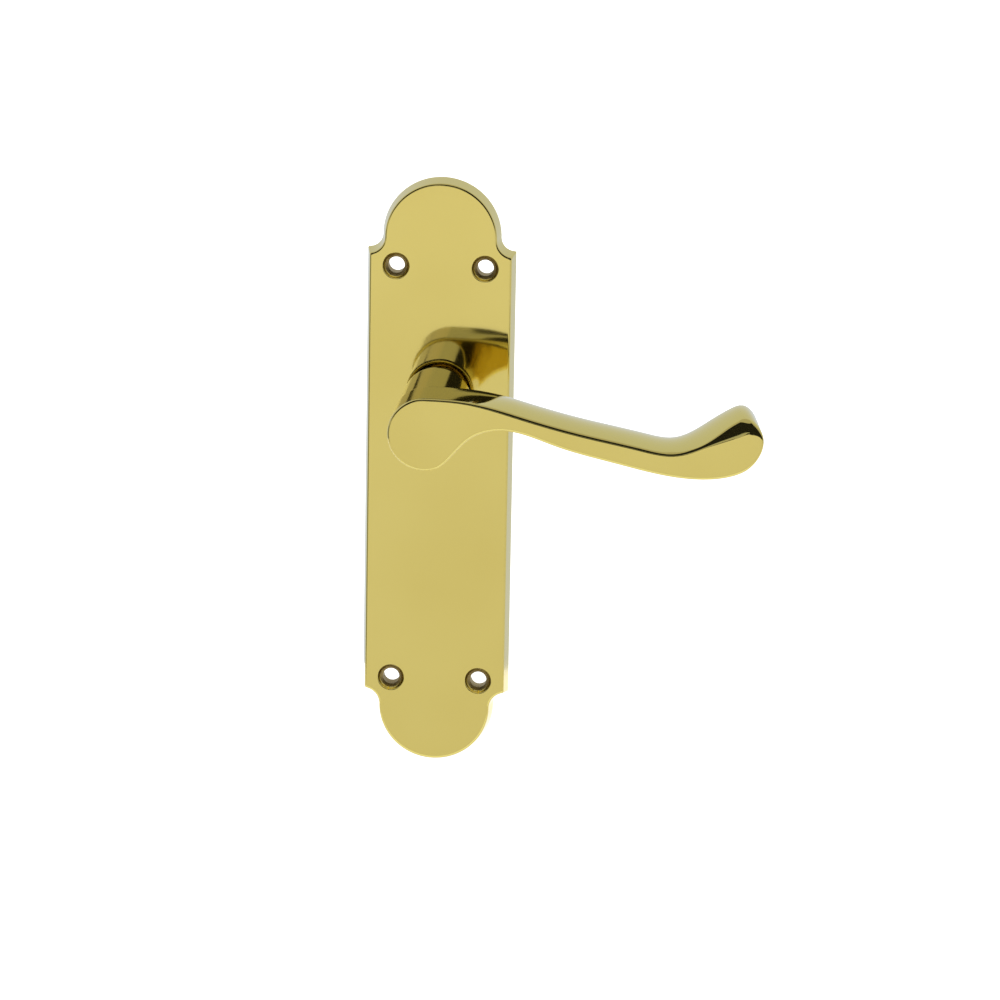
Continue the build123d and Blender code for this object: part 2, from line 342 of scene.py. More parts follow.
class NodeBuilder:
    """Short forms for building one material's nodes."""

    def __init__(self, name: str) -> None:
        """Starts an empty node material with a principled surface."""
        self.material = bpy.data.materials.new(name)
        self.material.use_nodes = True
        self.tree = self.material.node_tree
        self.shader = self.tree.nodes["Principled BSDF"]
        self.place = self.add("ShaderNodeTexCoord").outputs["Object"]

    def add(self, kind: str, **values: object) -> bpy.types.Node:
        """Adds a node.

        Args:
            kind: the node's type.
            values: its named inputs' values, and its other properties.

        Returns:
            The node.
        """
        node = self.tree.nodes.new(kind)
        for key, value in values.items():
            if key in node.inputs:
                node.inputs[key].default_value = value
            else:
                setattr(node, key, value)
        return node

    def link(self, source: bpy.types.NodeSocket, target: bpy.types.NodeSocket) -> None:
        """Joins two sockets."""
        self.tree.links.new(source, target)

    def noise(self, scale: float, detail: float = 3.0,
              stretch: Sequence[float] = (1.0, 1.0, 1.0)) -> bpy.types.NodeSocket:
        """Noise on object coordinates.

        Args:
            scale: its cycles per metre.
            detail: how many finer layers it has.
            stretch: factors on its coordinates; a small one draws it out along that axis.

        Returns:
            The noise, 0 to 1.
        """
        mapping = self.add("ShaderNodeMapping")
        mapping.inputs["Scale"].default_value = stretch
        self.link(self.place, mapping.inputs["Vector"])
        texture = self.add("ShaderNodeTexNoise", Scale=scale, Detail=detail)
        self.link(mapping.outputs["Vector"], texture.inputs["Vector"])
        return texture.outputs["Fac"]

    def remap(self, value: bpy.types.NodeSocket, low: float, high: float, source_low: float = 0.3,
              source_high: float = 0.7) -> bpy.types.NodeSocket:
        """Maps a factor from one range to another.

        Args:
            value: the factor.
            low: the result at source_low.
            high: the result at source_high.
            source_low: the lower end of the factor's range.
            source_high: its upper end.

        Returns:
            The mapped factor.
        """
        node = self.add("ShaderNodeMapRange")
        node.inputs["From Min"].default_value = source_low
        node.inputs["From Max"].default_value = source_high
        node.inputs["To Min"].default_value = low
        node.inputs["To Max"].default_value = high
        self.link(value, node.inputs["Value"])
        return node.outputs["Result"]

    def blend(self, factor: bpy.types.NodeSocket, first: Sequence[float],
              second: Sequence[float]) -> bpy.types.NodeSocket:
        """Colour between two others.

        Args:
            factor: 0 for the first colour, 1 for the second.
            first: the first colour.
            second: the second colour.

        Returns:
            The colour.
        """
        ramp = self.add("ShaderNodeValToRGB")
        ramp.color_ramp.elements[0].color = (*first, 1.0)
        ramp.color_ramp.elements[1].color = (*second, 1.0)
        self.link(factor, ramp.inputs["Fac"])
        return ramp.outputs["Color"]

    def bump(self, height: bpy.types.NodeSocket, strength: float, distance: float,
             under: bpy.types.NodeSocket | None = None) -> bpy.types.NodeSocket:
        """Relief from a height.

        Args:
            height: the height, 0 to 1.
            strength: how much of the relief is used.
            distance: its depth in metres.
            under: an earlier relief that it lies on.

        Returns:
            The shading normal.
        """
        node = self.add("ShaderNodeBump", Strength=strength, Distance=distance)
        self.link(height, node.inputs["Height"])
        if under is not None:
            self.link(under, node.inputs["Normal"])
        return node.outputs["Normal"]


@dataclass(frozen=True)
class PolishedBrass:
    """Mirror-polished yellow brass under clear lacquer; scales are in cycles per metre."""

    bright: Triple = (0.74, 0.61, 0.165)
    deep: Triple = (0.70, 0.565, 0.14)
    drift_scale: float = 22.0
    roughness: float = 0.055
    smudge: float = 0.10
    smudge_scale: float = 70.0
    smudge_range: Point = (0.35, 0.8)
    wave_scale: float = 45.0
    wave_depth: float = 0.4 * MM
    line_scale: float = 2600.0
    line_stretch: Triple = (1.0, 1.0, 0.04)
    line_depth: float = 0.01 * MM
    lacquer: float = 0.8
    lacquer_roughness: float = 0.03
    lacquer_ior: float = 1.55

    def material(self) -> bpy.types.Material:
        """Builds the finish.

        Returns:
            The material.
        """
        nodes = NodeBuilder("polished_brass")
        drift = nodes.remap(nodes.noise(self.drift_scale, 2.0), 0.0, 1.0)
        nodes.link(nodes.blend(drift, self.deep, self.bright), nodes.shader.inputs["Base Color"])
        film = nodes.remap(nodes.noise(self.smudge_scale, 5.0), self.roughness, self.smudge, *self.smudge_range)
        nodes.link(film, nodes.shader.inputs["Roughness"])
        waves = nodes.bump(nodes.noise(self.wave_scale, 1.0), 0.05, self.wave_depth)
        lines = nodes.bump(nodes.noise(self.line_scale, 2.0, self.line_stretch), 0.03, self.line_depth, waves)
        nodes.link(lines, nodes.shader.inputs["Normal"])
        nodes.shader.inputs["Metallic"].default_value = 1.0
        nodes.shader.inputs["Coat Weight"].default_value = self.lacquer
        nodes.shader.inputs["Coat Roughness"].default_value = self.lacquer_roughness
        nodes.shader.inputs["Coat IOR"].default_value = self.lacquer_ior
        return nodes.material


@dataclass(frozen=True)
class GrainedFinish:
    """A mottled colour, uneven gloss and fine relief; each pair starts with a scale and its detail."""

    name: str = ""
    light: Triple = (1.0, 1.0, 1.0)
    dark: Triple = (0.0, 0.0, 0.0)
    tone: Point = (1.0, 1.0)
    roughness: Point = (0.5, 0.5)
    gloss: Point = (1.0, 1.0)
    relief: tuple[Relief, ...] = ()
    stretch: Triple = (1.0, 1.0, 1.0)
    metallic: float = 1.0

    def material(self) -> bpy.types.Material:
        """Builds the finish; each relief is a scale, a detail, a strength and a depth.

        Returns:
            The material.
        """
        nodes = NodeBuilder(self.name)
        tone = nodes.remap(nodes.noise(*self.tone), 0.0, 1.0)
        nodes.link(nodes.blend(tone, self.dark, self.light), nodes.shader.inputs["Base Color"])
        gloss = nodes.remap(nodes.noise(*self.gloss, self.stretch), *self.roughness)
        nodes.link(gloss, nodes.shader.inputs["Roughness"])
        normal = None
        for scale, detail, strength, depth in self.relief:
            normal = nodes.bump(nodes.noise(scale, detail, self.stretch), strength, depth, normal)
        nodes.link(normal, nodes.shader.inputs["Normal"])
        nodes.shader.inputs["Metallic"].default_value = self.metallic
        return nodes.material


@dataclass(frozen=True)
class CastBrass(GrainedFinish):
    """Unpolished brass as it left the mould, on the hidden side; its darker colour also lines the deeper half
    of each countersink and the screw hole walls, partly as painted shade.
    """

    name: str = "cast_brass"
    light: Triple = (0.52, 0.40, 0.17)
    dark: Triple = (0.30, 0.215, 0.085)
    tone: Point = (90.0, 5.0)
    roughness: Point = (0.38, 0.58)
    gloss: Point = (260.0, 4.0)
    relief: tuple[Relief, ...] = (
        (700.0, 3.0, 0.25, 0.15 * MM),
        (2400.0, 4.0, 0.2, 0.05 * MM),
    )


@dataclass(frozen=True)
class PlatedSteel(GrainedFinish):
    """Bright zinc-plated steel with drawn lines along its length."""

    name: str = "zinc_plated_steel"
    light: Triple = (0.66, 0.68, 0.70)
    dark: Triple = (0.47, 0.49, 0.53)
    tone: Point = (160.0, 5.0)
    roughness: Point = (0.2, 0.36)
    gloss: Point = (3200.0, 3.0)
    relief: tuple[Relief, ...] = ((3200.0, 3.0, 0.12, 0.02 * MM),)
    stretch: Triple = (1.0, 0.02, 1.0)


@dataclass(frozen=True)
class SpringSteel(GrainedFinish):
    """Dark oiled spring steel."""

    name: str = "spring_steel"
    light: Triple = (0.26, 0.25, 0.24)
    dark: Triple = (0.13, 0.12, 0.115)
    tone: Point = (420.0, 4.0)
    roughness: Point = (0.22, 0.42)
    gloss: Point = (900.0, 3.0)
    relief: tuple[Relief, ...] = ((2500.0, 2.0, 0.1, 0.02 * MM),)


@dataclass(frozen=True)
class MouldedAcetal(GrainedFinish):
    """Off-white moulded bearing plastic."""

    name: str = "acetal"
    light: Triple = (0.80, 0.79, 0.74)
    dark: Triple = (0.72, 0.70, 0.64)
    tone: Point = (300.0, 3.0)
    roughness: Point = (0.38, 0.5)
    gloss: Point = (1500.0, 2.0)
    relief: tuple[Relief, ...] = ((3000.0, 2.0, 0.08, 0.02 * MM),)
    metallic: float = 0.0


@dataclass
class Finishes:
    """Every finish of the object, made once."""

    brass: bpy.types.Material = field(default_factory=lambda: PolishedBrass().material())
    cast: bpy.types.Material = field(default_factory=lambda: CastBrass().material())
    plated: bpy.types.Material = field(default_factory=lambda: PlatedSteel().material())
    spring: bpy.types.Material = field(default_factory=lambda: SpringSteel().material())
    acetal: bpy.types.Material = field(default_factory=lambda: MouldedAcetal().material())


@dataclass
class Backplate:
    """Cast backplate with arched ends, coves, square shoulders and a hollow back."""

    POLISHED: ClassVar[int] = 0
    AS_CAST: ClassVar[int] = 1
    finishes: Finishes
    height: float = 164.96 * MM
    width: float = 40.4 * MM
    depth: float = 5.0 * MM
    draft: float = 1.0 * MM
    front_edge: float = 0.45 * MM
    front_edge_draft: float = 0.1
    face_support: float = 0.15 * MM
    back_edge: float = 0.2 * MM
    middle: float = -22.3 * MM
    arch_radius: float = 15.1 * MM
    cove_radius: float = 4.72 * MM
    corner: float = 0.55 * MM
    wall: float = 1.6 * MM
    pocket_inset: float = 2.2 * MM
    pocket_fillet: float = 0.5 * MM
    pocket_support: float = 0.2 * MM
    hole_x: float = 12.1 * MM
    hole_z: float = 58.45 * MM
    hole_radius: float = 2.25 * MM
    sink_radius: float = 3.6 * MM
    sink_lip: float = 0.1 * MM
    # painted shade: past this depth the screw holes' faces take the darker cast brass, partly unpolished metal
    # and partly shade painted into the recess
    unpolished_and_painted_shade_from: float = -4.18 * MM
    boss_radius: float = 5.2 * MM
    hub_lip: float = 6.5 * MM
    hub_bore: float = 7.53 * MM
    hub_step: float = 4.18 * MM
    ring_inner: float = 15.2 * MM
    ring_wall: float = 1.4 * MM
    detail_edge: float = 0.25 * MM
    sunk: float = 0.2 * MM
    rib: float = 1.4 * MM
    rib_setback: float = 0.8 * MM
    cross_rib: float = -46.0 * MM
    sharp_angle: float = 28.0
    arch_steps: int = 40
    cove_steps: int = 12
    side_steps: int = 10
    corner_steps: int = 5

    def quarter(self, inset: float) -> list[Point]:
        """One quarter of the outline, pulled in by inset, from the side's middle up to the top.

        Args:
            inset: how far inside the outermost outline the quarter lies.

        Returns:
            Places in X and in height above the plate's middle, the last one left out.
        """
        half = self.width / 2 - inset
        arch = self.arch_radius + self.draft - inset
        cove = self.cove_radius - self.draft + inset
        arch_z = self.height / 2 - self.draft - self.arch_radius
        turn = 2.0 * math.pi - math.acos((half - arch) / cove - 1.0)
        shoulder = Vector((half, arch_z + cove * math.sin(turn)))
        cut = self.corner / cove
        cove_start = Vector((arch + cove + cove * math.cos(turn - cut), arch_z + cove * math.sin(turn - cut)))
        side_end = Vector((half, shoulder.y - self.corner))
        points = [(half, side_end.y * step / self.side_steps) for step in range(self.side_steps)]
        for step in range(self.corner_steps):
            share = step / self.corner_steps
            place = (1 - share) ** 2 * side_end + 2 * share * (1 - share) * shoulder + share**2 * cove_start
            points.append((place.x, place.y))
        for step in range(self.cove_steps):
            angle = turn - cut + (math.pi - turn + cut) * step / self.cove_steps
            points.append((arch + cove + cove * math.cos(angle), arch_z + cove * math.sin(angle)))
        for step in range(self.arch_steps):
            angle = RIGHT_ANGLE * step / self.arch_steps
            points.append((arch * math.cos(angle), arch_z + arch * math.sin(angle)))
        return points

    def loop(self, inset: float, depth: float) -> Loop:
        """The whole outline.

        Args:
            inset: how far inside the outermost outline it lies.
            depth: its place along Y.

        Returns:
            Its points in order.
        """
        arch = self.arch_radius + self.draft - inset
        top = (0.0, self.height / 2 - self.draft - self.arch_radius + arch)
        right = self.quarter(inset)
        half = right + [top] + [(-x, z) for x, z in reversed(right)]
        under = [(x, -z) for x, z in reversed(half[1:-1])]
        return [Vector((x, depth, z + self.middle)) for x, z in half + under]

    def shell(self) -> bpy.types.Object:
        """Draws the plate's outside, rim and pocket as one closed surface.

        Returns:
            The plate without its details and holes.
        """
        loops = [self.loop(self.draft + self.front_edge + self.face_support, -self.depth)]
        side_draft = self.draft * (1 - self.front_edge_draft)
        for angle in quarter_turn(6):
            inset = side_draft + self.front_edge * (1 - math.sin(angle))
            inset += self.draft * self.front_edge_draft * math.cos(angle)
            loops.append(self.loop(inset, -self.depth + self.front_edge * (1 - math.cos(angle))))
        side_depth = self.depth - self.front_edge - self.back_edge
        for share in (1 / 3, 2 / 3, 1.0):
            depth = -self.depth + self.front_edge + side_depth * share
            loops.append(self.loop(side_draft * (1 - share), depth))
        for angle in quarter_turn(3)[1:]:
            inset = self.back_edge * (1 - math.cos(angle))
            loops.append(self.loop(inset, -self.back_edge * (1 - math.sin(angle))))
        outside = len(loops)
        loops.append(self.loop(self.pocket_inset - self.back_edge, 0.0))
        loops.append(self.loop(self.pocket_inset, -self.back_edge))
        floor = self.wall - self.depth
        for angle in quarter_turn(4):
            inset = self.pocket_inset + self.pocket_fillet * (1 - math.cos(angle))
            loops.append(self.loop(inset, floor + self.pocket_fillet * (1 - math.sin(angle))))
        loops.append(self.loop(self.pocket_inset + self.pocket_fillet + self.pocket_support, floor))
        plate = self.surface(skin("backplate_skin", loops), self.POLISHED)
        hollow = len(loops[0]) * outside
        for face in plate.data.polygons:
            if min(face.vertices) >= hollow:
                face.material_index = self.AS_CAST
        return plate

    def screw_places(self) -> list[Point]:
        """Middles of the four screw holes, in X and Z."""
        return [(x, z + self.middle) for x in (-self.hole_x, self.hole_x) for z in (-self.hole_z, self.hole_z)]

    def surface(self, piece: bpy.types.Object, index: int) -> bpy.types.Object:
        """Gives a piece both brass finishes and sets one on its faces.

        Args:
            piece: the piece to finish.
            index: POLISHED or AS_CAST.

        Returns:
            The same piece.
        """
        piece.data.materials.append(self.finishes.brass)
        piece.data.materials.append(self.finishes.cast)
        for face in piece.data.polygons:
            face.material_index = index
        return piece

    def add_back_details(self, plate: bpy.types.Object) -> None:
        """Adds the screw bosses, the ribs and the hub ring inside the hollow back.

        Args:
            plate: the plate's shell.
        """
        floor = self.wall - self.depth - self.sunk
        edge = self.detail_edge
        for place in self.screw_places():
            profile = ((self.boss_radius + 0.3 * MM, floor), (self.boss_radius, floor + 0.6 * MM),
                       (self.boss_radius - 0.1 * MM, -edge), (self.boss_radius - 0.3 * MM, 0.0))
            boss = skin("boss", lathe_loops(profile, 48, place))
            combine(plate, self.surface(boss, self.AS_CAST), Cut.JOIN)
        top = -self.rib_setback
        size = Vector((self.rib, top - floor, self.height - 2 * self.pocket_inset - self.back_edge))
        spine = rounded_bar("spine", size, Vector((0.0, (top + floor) / 2, self.middle)), edge)
        combine(plate, self.surface(spine, self.AS_CAST), Cut.JOIN)
        reach = self.width - 2 * self.pocket_inset + self.wall
        for z in (self.middle - self.hole_z, self.cross_rib, self.middle + self.hole_z):
            size = Vector((reach, top - floor, self.rib))
            rib = rounded_bar("rib", size, Vector((0.0, (top + floor) / 2, z)), edge)
            combine(plate, self.surface(rib, self.AS_CAST), Cut.JOIN)
        outer = self.ring_inner + self.ring_wall
        profile = ((outer + self.sunk, floor), (outer, -edge), (outer - edge, 0.0))
        ring = skin("hub_ring", lathe_loops(profile, 96))
        combine(plate, self.surface(ring, self.AS_CAST), Cut.JOIN)

    def cut_holes(self, plate: bpy.types.Object) -> None:
        """Clears the spring's space and cuts the hub bore and the countersunk screw holes, whose deeper faces
        take the darker cast brass, partly as unpolished metal and partly as painted shade.

        Args:
            plate: the plate with its details.
        """
        floor = self.wall - self.depth
        cavity = ((self.ring_inner - 0.3 * MM, floor), (self.ring_inner, floor + 0.4 * MM),
                  (self.ring_inner, -0.2 * MM), (self.ring_inner + 0.3 * MM, 0.1 * MM),
                  (self.ring_inner + 0.3 * MM, 1.0 * MM))
        combine(plate, self.surface(skin("cavity", lathe_loops(cavity, 96)), self.AS_CAST), Cut.REMOVE)
        bore = ((self.hub_lip + 0.6 * MM, -self.depth - 0.4 * MM), (self.hub_lip, -self.depth + 0.15 * MM),
                (self.hub_lip, -self.hub_step), (self.hub_bore, -self.hub_step), (self.hub_bore, 1.0 * MM))
        combine(plate, self.surface(skin("bore", lathe_loops(bore, 96)), self.POLISHED), Cut.REMOVE)
        for place in self.screw_places():
            cutter = self.surface(self.screw_cutter(place), self.POLISHED)
            # Hole faces past this depth get the darker cast brass: partly unpolished metal, partly painted
            # shade in the countersinks and holes.
            for face in cutter.data.polygons:
                if face.center.y > self.unpolished_and_painted_shade_from:
                    face.material_index = self.AS_CAST
            combine(plate, cutter, Cut.REMOVE)

    def screw_cutter(self, centre: Point) -> bpy.types.Object:
        """Solid of one screw hole: softened mouth, hollow countersink and clearance hole.

        Args:
            centre: the hole's middle in X and Z.

        Returns:
            The solid that is taken away.
        """
        front = -self.depth
        slope = self.sink_radius - self.hole_radius
        profile = [
            (self.sink_radius + 0.75 * MM, front - 0.5 * MM),
            (self.sink_radius + 0.12 * MM, front + 0.01 * MM),
        ]
        for step in range(7):
            share = step / 6
            bow = self.sink_lip * math.sin(math.pi * share)
            radius = self.sink_radius - slope * share + bow
            profile.append((radius, front + self.sink_lip + slope * share + bow))
        profile.append((self.hole_radius, 1.0 * MM))
        return skin("screw_hole", lathe_loops(profile, 64, centre))

    def build(self) -> bpy.types.Object:
        """Makes the backplate's visible piece.

        Returns:
            The finished piece, riding on the plate body.
        """
        plate = self.shell()
        self.add_back_details(plate)
        self.cut_holes(plate)
        clean(plate, self.sharp_angle)
        even_normals(plate)
        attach(plate, Body.PLATE.value)
        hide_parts("backplate")
        return plate


@dataclass
class Lever:
    """Cast lever: flat round eye, tapering arm with a scrolled end, neck, journal and stem.

    The outline's points are in millimetres, and each span is where, along X, a feature starts and is complete.
    """

    finishes: Finishes
    front: float = -45.0 * MM
    depth: float = 14.0 * MM
    eye_radius: float = 9.9 * MM
    join_angle: float = -76.0
    lower: tuple[Point, ...] = (
        (6.8, -6.3), (13.0, -0.1), (20.0, 1.9), (34.7, -1.7), (50.8, -5.8), (62.9, -8.4),
        (73.0, -9.3), (80.2, -8.5), (85.8, -6.1), (89.0, -2.2),
    )
    tip: Point = (89.95, 1.8)
    upper: tuple[Point, ...] = (
        (89.0, 4.7), (86.6, 6.3), (82.7, 5.2), (79.0, 2.9), (73.2, -0.5), (66.0, -2.6),
        (57.5, -1.5), (40.7, 1.9), (24.6, 6.0), (10.4, 9.4),
    )
    swell: float = 1.4 * MM
    under_swell: float = 0.7
    flare: float = 0.8 * MM
    arm_span: Point = (4.0 * MM, 24.0 * MM)
    scroll_span: Point = (73.0 * MM, 84.0 * MM)
    lean_span: Point = (60.0 * MM, 80.0 * MM)
    tip_span: Point = (84.0 * MM, 89.5 * MM)
    lean: float = 2.6 * MM
    rise: float = 1.1 * MM
    edge: float = 0.7 * MM
    scroll_edge: float = 2.6 * MM
    scroll_edge_depth: float = 2.5 * MM
    scroll_crease: float = 35.0
    back_edge: float = 2.0 * MM
    back_edge_depth: float = 1.2
    eye_steps: int = 72
    arm_steps: int = 260
    edge_steps: int = 9
    side_steps: int = 12
    back_steps: int = 8
    support: float = 0.12 * MM
    neck_radius: float = 9.4 * MM
    neck_back: float = -8.0 * MM
    bead: float = 0.9 * MM
    bead_squash: float = 0.7
    bead_dent: float = 0.12 * MM
    turned_edge: float = 0.25 * MM
    journal_radius: float = 6.9 * MM
    journal_back: float = -5.15 * MM
    journal_fillet: float = 0.8 * MM
    stem_radius: float = 6.3 * MM
    stem_end: float = 2.3 * MM
    flat: float = 5.6 * MM
    flat_start: float = -2.55 * MM
    flat_edge: float = 0.05 * MM
    turned_steps: int = 128
    groove_radius: float = 5.95 * MM
    groove_front: float = 0.4 * MM
    groove_width: float = 1.1 * MM
    socket: float = 8.1 * MM
    socket_depth: float = 38.0 * MM
    socket_corner: float = 0.7 * MM
    socket_mouth: float = 0.25 * MM
    arm_sharp_angle: float = 50.0
    sharp_angle: float = 32.0

    def outline(self) -> tuple[np.ndarray, np.ndarray]:
        """The front face's outline and its outward directions.

        Returns:
            Places in X and Z, and unit normals, one row for each point.
        """
        join = math.radians(self.join_angle)
        start = (self.eye_radius * math.cos(join), self.eye_radius * math.sin(join))
        begin = (-math.sin(join), math.cos(join))
        middle = [(x * MM, z * MM) for x, z in (*self.lower, self.tip, *self.upper)]
        arm = through([start, *middle, (0.0, self.eye_radius)], begin, (-1.0, 0.0), self.arm_steps)
        turns = np.linspace(RIGHT_ANGLE, 2 * math.pi + join, self.eye_steps)[1:-1]
        eye = self.eye_radius * np.column_stack((np.cos(turns), np.sin(turns)))
        places = np.vstack((arm, eye))
        along = np.roll(places, -1, axis=0) - np.roll(places, 1, axis=0)
        along /= np.linalg.norm(along, axis=1)[:, None]
        return places, np.column_stack((along[:, 1], -along[:, 0]))

    def level(self, places: np.ndarray, normals: np.ndarray, share: float, turn_front: float,
              turn_back: float) -> Loop:
        """One ring of the arm between its front and its back.

        Args:
            places: the front outline.
            normals: its outward directions.
            share: place between the front edge's end and the back edge's start, 0 to 1.
            turn_front: angle along the front edge's rounding, in radians; 90 degrees past it.
            turn_back: angle along the back edge's rounding, in radians; 0 before it.

        Returns:
            The ring's points.
        """
        ring = []
        for (x, z), normal in zip(places, normals):
            scroll = smoothstep(x, *self.scroll_span) * smoothstep(normal[1], 0.1, 0.9)
            lean = smoothstep(x, *self.lean_span) * smoothstep(normal[1], -0.9, 0.4)
            arm = smoothstep(x, *self.arm_span)
            inset = self.edge + (self.scroll_edge - self.edge) * scroll
            edge_depth = self.edge + (self.scroll_edge_depth - self.edge) * scroll
            crease = math.radians(self.scroll_crease) * scroll
            turn = crease + (RIGHT_ANGLE - crease) * turn_front / RIGHT_ANGLE
            back = self.edge + (self.back_edge - self.edge) * arm
            back_depth = back * self.back_edge_depth
            depth = edge_depth * (1 - math.cos(turn) / math.cos(crease))
            depth += (self.depth - edge_depth - back_depth) * share
            depth += back_depth * math.sin(turn_back)
            across = 2.0 * depth / self.depth - 1.0
            offset = self.swell * arm * (1 - across * across)
            offset *= self.under_swell + (1 - self.under_swell) * normal[1]
            offset *= 1 - smoothstep(x, *self.tip_span)
            offset -= inset * (1 - math.sin(turn)) / (1 - math.sin(crease)) + back * (1 - math.cos(turn_back))
            lean *= depth / self.depth
            place = Vector((x + normal[0] * offset, self.front + depth, z + normal[1] * offset))
            place.z += self.flare * arm * max(normal[1], 0.0) * depth / self.depth
            ring.append(place + Vector((-self.lean, 0.0, self.rise)) * lean)
        return ring

    def arm(self) -> bpy.types.Object:
        """Draws the eye, arm and scroll as one rounded solid.

        Returns:
            The solid.
        """
        places, normals = self.outline()
        front = [self.level(places, normals, 0.0, turn, 0.0) for turn in quarter_turn(self.edge_steps)]
        shares = [step / self.side_steps for step in range(1, self.side_steps + 1)]
        side = [self.level(places, normals, share, RIGHT_ANGLE, 0.0) for share in shares]
        turns = quarter_turn(self.back_steps)[1:]
        back = [self.level(places, normals, 1.0, RIGHT_ANGLE, turn) for turn in turns]
        inside = [
            point - Vector((normal[0], 0.0, normal[1])) * self.support
            for point, normal in zip(front[0], normals)
        ]
        return skin("lever_skin", [inside, *front, *side, *back])

    def neck(self) -> bpy.types.Object:
        """Turns the neck, the journal and the stem with its retaining groove.

        Returns:
            The turned solid.
        """
        bead = self.bead
        edge = self.turned_edge
        back = self.neck_back
        profile = [
            (self.neck_radius, self.front + self.depth - 1.0 * MM),
            (self.neck_radius, back - bead - 1.2 * MM),
            (self.neck_radius, back - bead - 0.5 * MM),
            (self.neck_radius - self.bead_dent, back - bead - 0.25 * MM),
            (self.neck_radius, back - bead),
        ]
        for angle in quarter_turn(5)[1:]:
            radius = self.neck_radius - bead * self.bead_squash * (1 - math.cos(angle))
            profile.append((radius, back - bead * (1 - math.sin(angle))))
        for angle in quarter_turn(4):
            radius = self.journal_radius + self.journal_fillet * (1 - math.sin(angle))
            profile.append((radius, back + self.journal_fillet * (1 - math.cos(angle))))
        profile.append((self.journal_radius, self.journal_back - edge))
        profile.append((self.journal_radius - edge, self.journal_back))
        groove_back = self.groove_front + self.groove_width
        profile += [(self.stem_radius, self.journal_back), (self.stem_radius, self.groove_front)]
        profile += [(self.groove_radius, self.groove_front), (self.groove_radius, groove_back)]
        profile += [(self.stem_radius, groove_back), (self.stem_radius, self.stem_end - edge)]
        profile += [(self.stem_radius - edge, self.stem_end)]
        return skin("neck", lathe_loops(profile, self.turned_steps))

    def build(self) -> bpy.types.Object:
        """Makes the lever's visible piece.

        Returns:
            The finished piece, riding on the handle body.
        """
        lever = self.arm()
        clean(lever, self.arm_sharp_angle)
        combine(lever, self.neck(), Cut.JOIN)
        spare = 1.0 * MM
        length = self.stem_end - self.flat_start + spare
        for side in (-1, 1):
            size = Vector((2 * spare, length, 4 * self.stem_radius))
            middle = Vector((side * (self.flat + spare), self.flat_start + length / 2, 0.0))
            combine(lever, rounded_bar("flat", size, middle, self.flat_edge), Cut.REMOVE)
        combine(lever, self.socket_cutter(), Cut.REMOVE)
        clean(lever, self.sharp_angle)
        even_normals(lever)
        lever.data.materials.clear()
        lever.data.materials.append(self.finishes.brass)
        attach(lever, Body.HANDLE.value)
        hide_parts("lever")
        return lever

    def socket_cutter(self) -> bpy.types.Object:
        """Solid of the square socket with rounded corners and an eased mouth.

        Returns:
            The solid that is taken away.
        """
        end = self.stem_end
        half = (self.socket / 2 - self.socket_corner) * math.sqrt(2)
        loops = []
        for grow, depth in ((0.0, end - self.socket_depth), (0.0, end - 0.3 * MM),
                            (self.socket_mouth, end + 0.01 * MM), (self.socket_mouth, end + 1.0 * MM)):
            radius = self.socket_corner + grow
            ring = []
            for quarter in range(4):
                corner = RIGHT_ANGLE * (quarter + 0.5)
                for step in range(6):
                    angle = RIGHT_ANGLE * (quarter + step / 5)
                    x = half * math.cos(corner) + radius * math.cos(angle)
                    ring.append(Vector((x, depth, half * math.sin(corner) + radius * math.sin(angle))))
            loops.append(ring)
        return skin("socket", loops)


@dataclass
class ReturnSpring:
    """Torsion spring round the hub, wound from the plate's anchor pin to the cam's arm."""

    finishes: Finishes
    wire: float = 0.9 * MM
    radius: float = 9.4 * MM
    front: float = -2.75 * MM
    back: float = -1.67 * MM
    moving_angle: float = 79.0
    sweep: float = 405.0
    leg: float = 8.4 * MM
    bend: float = 0.9 * MM
    leg_end: float = -0.4 * MM
    coil_steps: int = 120
    bend_steps: int = 8
    sharp_angle: float = 50.0

    def centre_line(self) -> Loop:
        """The wire's centre line: fixed leg, coil, bend and moving leg.

        Returns:
            Its points, from the fixed leg's end.
        """
        line = []
        for step in range(self.coil_steps + 1):
            share = step / self.coil_steps
            turn = math.radians(self.moving_angle + self.sweep * (1 - share))
            line.append(Vector((self.radius * math.cos(turn), self.front + (self.back - self.front) * share,
                                self.radius * math.sin(turn))))
        start = (line[0] - line[1]).normalized()
        fixed = [line[0] + start * self.leg * share for share in (1.0, 0.75, 0.5, 0.25)]
        along = (line[-1] - line[-2]).normalized()
        inward = (Vector((0.0, 1.0, 0.0)) - along * along.y).normalized()
        centre = line[-1] + inward * self.bend
        turned = []
        for step in range(1, self.bend_steps + 1):
            angle = math.acos(along.y) * step / self.bend_steps
            turned.append(centre + (along * math.sin(angle) - inward * math.cos(angle)) * self.bend)
        last = turned[-1]
        turned.append(Vector((last.x, self.leg_end, last.z)))
        return fixed + line + turned

    def build(self) -> bpy.types.Object:
        """Makes the spring's visible piece.

        Returns:
            The finished piece, coiled between the plate and the handle.
        """
        deselect_all()
        curve = bpy.data.curves.new("return_spring_wire", "CURVE")
        curve.dimensions = "3D"
        curve.bevel_depth = self.wire / 2
        curve.bevel_resolution = 5
        curve.use_fill_caps = True
        spline = curve.splines.new("POLY")
        line = self.centre_line()
        spline.points.add(len(line) - 1)
        for point, place in zip(spline.points, line):
            point.co = (*place, 1.0)
        spring = bpy.data.objects.new("return_spring_skin", curve)
        bpy.context.scene.collection.objects.link(spring)
        spring.select_set(True)
        bpy.context.view_layer.objects.active = spring
        bpy.ops.object.convert(target="MESH")
        spring = bpy.context.active_object
        clean(spring, self.sharp_angle)
        spring.data.materials.clear()
        spring.data.materials.append(self.finishes.spring)
        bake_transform(spring)
        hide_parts("return_spring")
        return spring


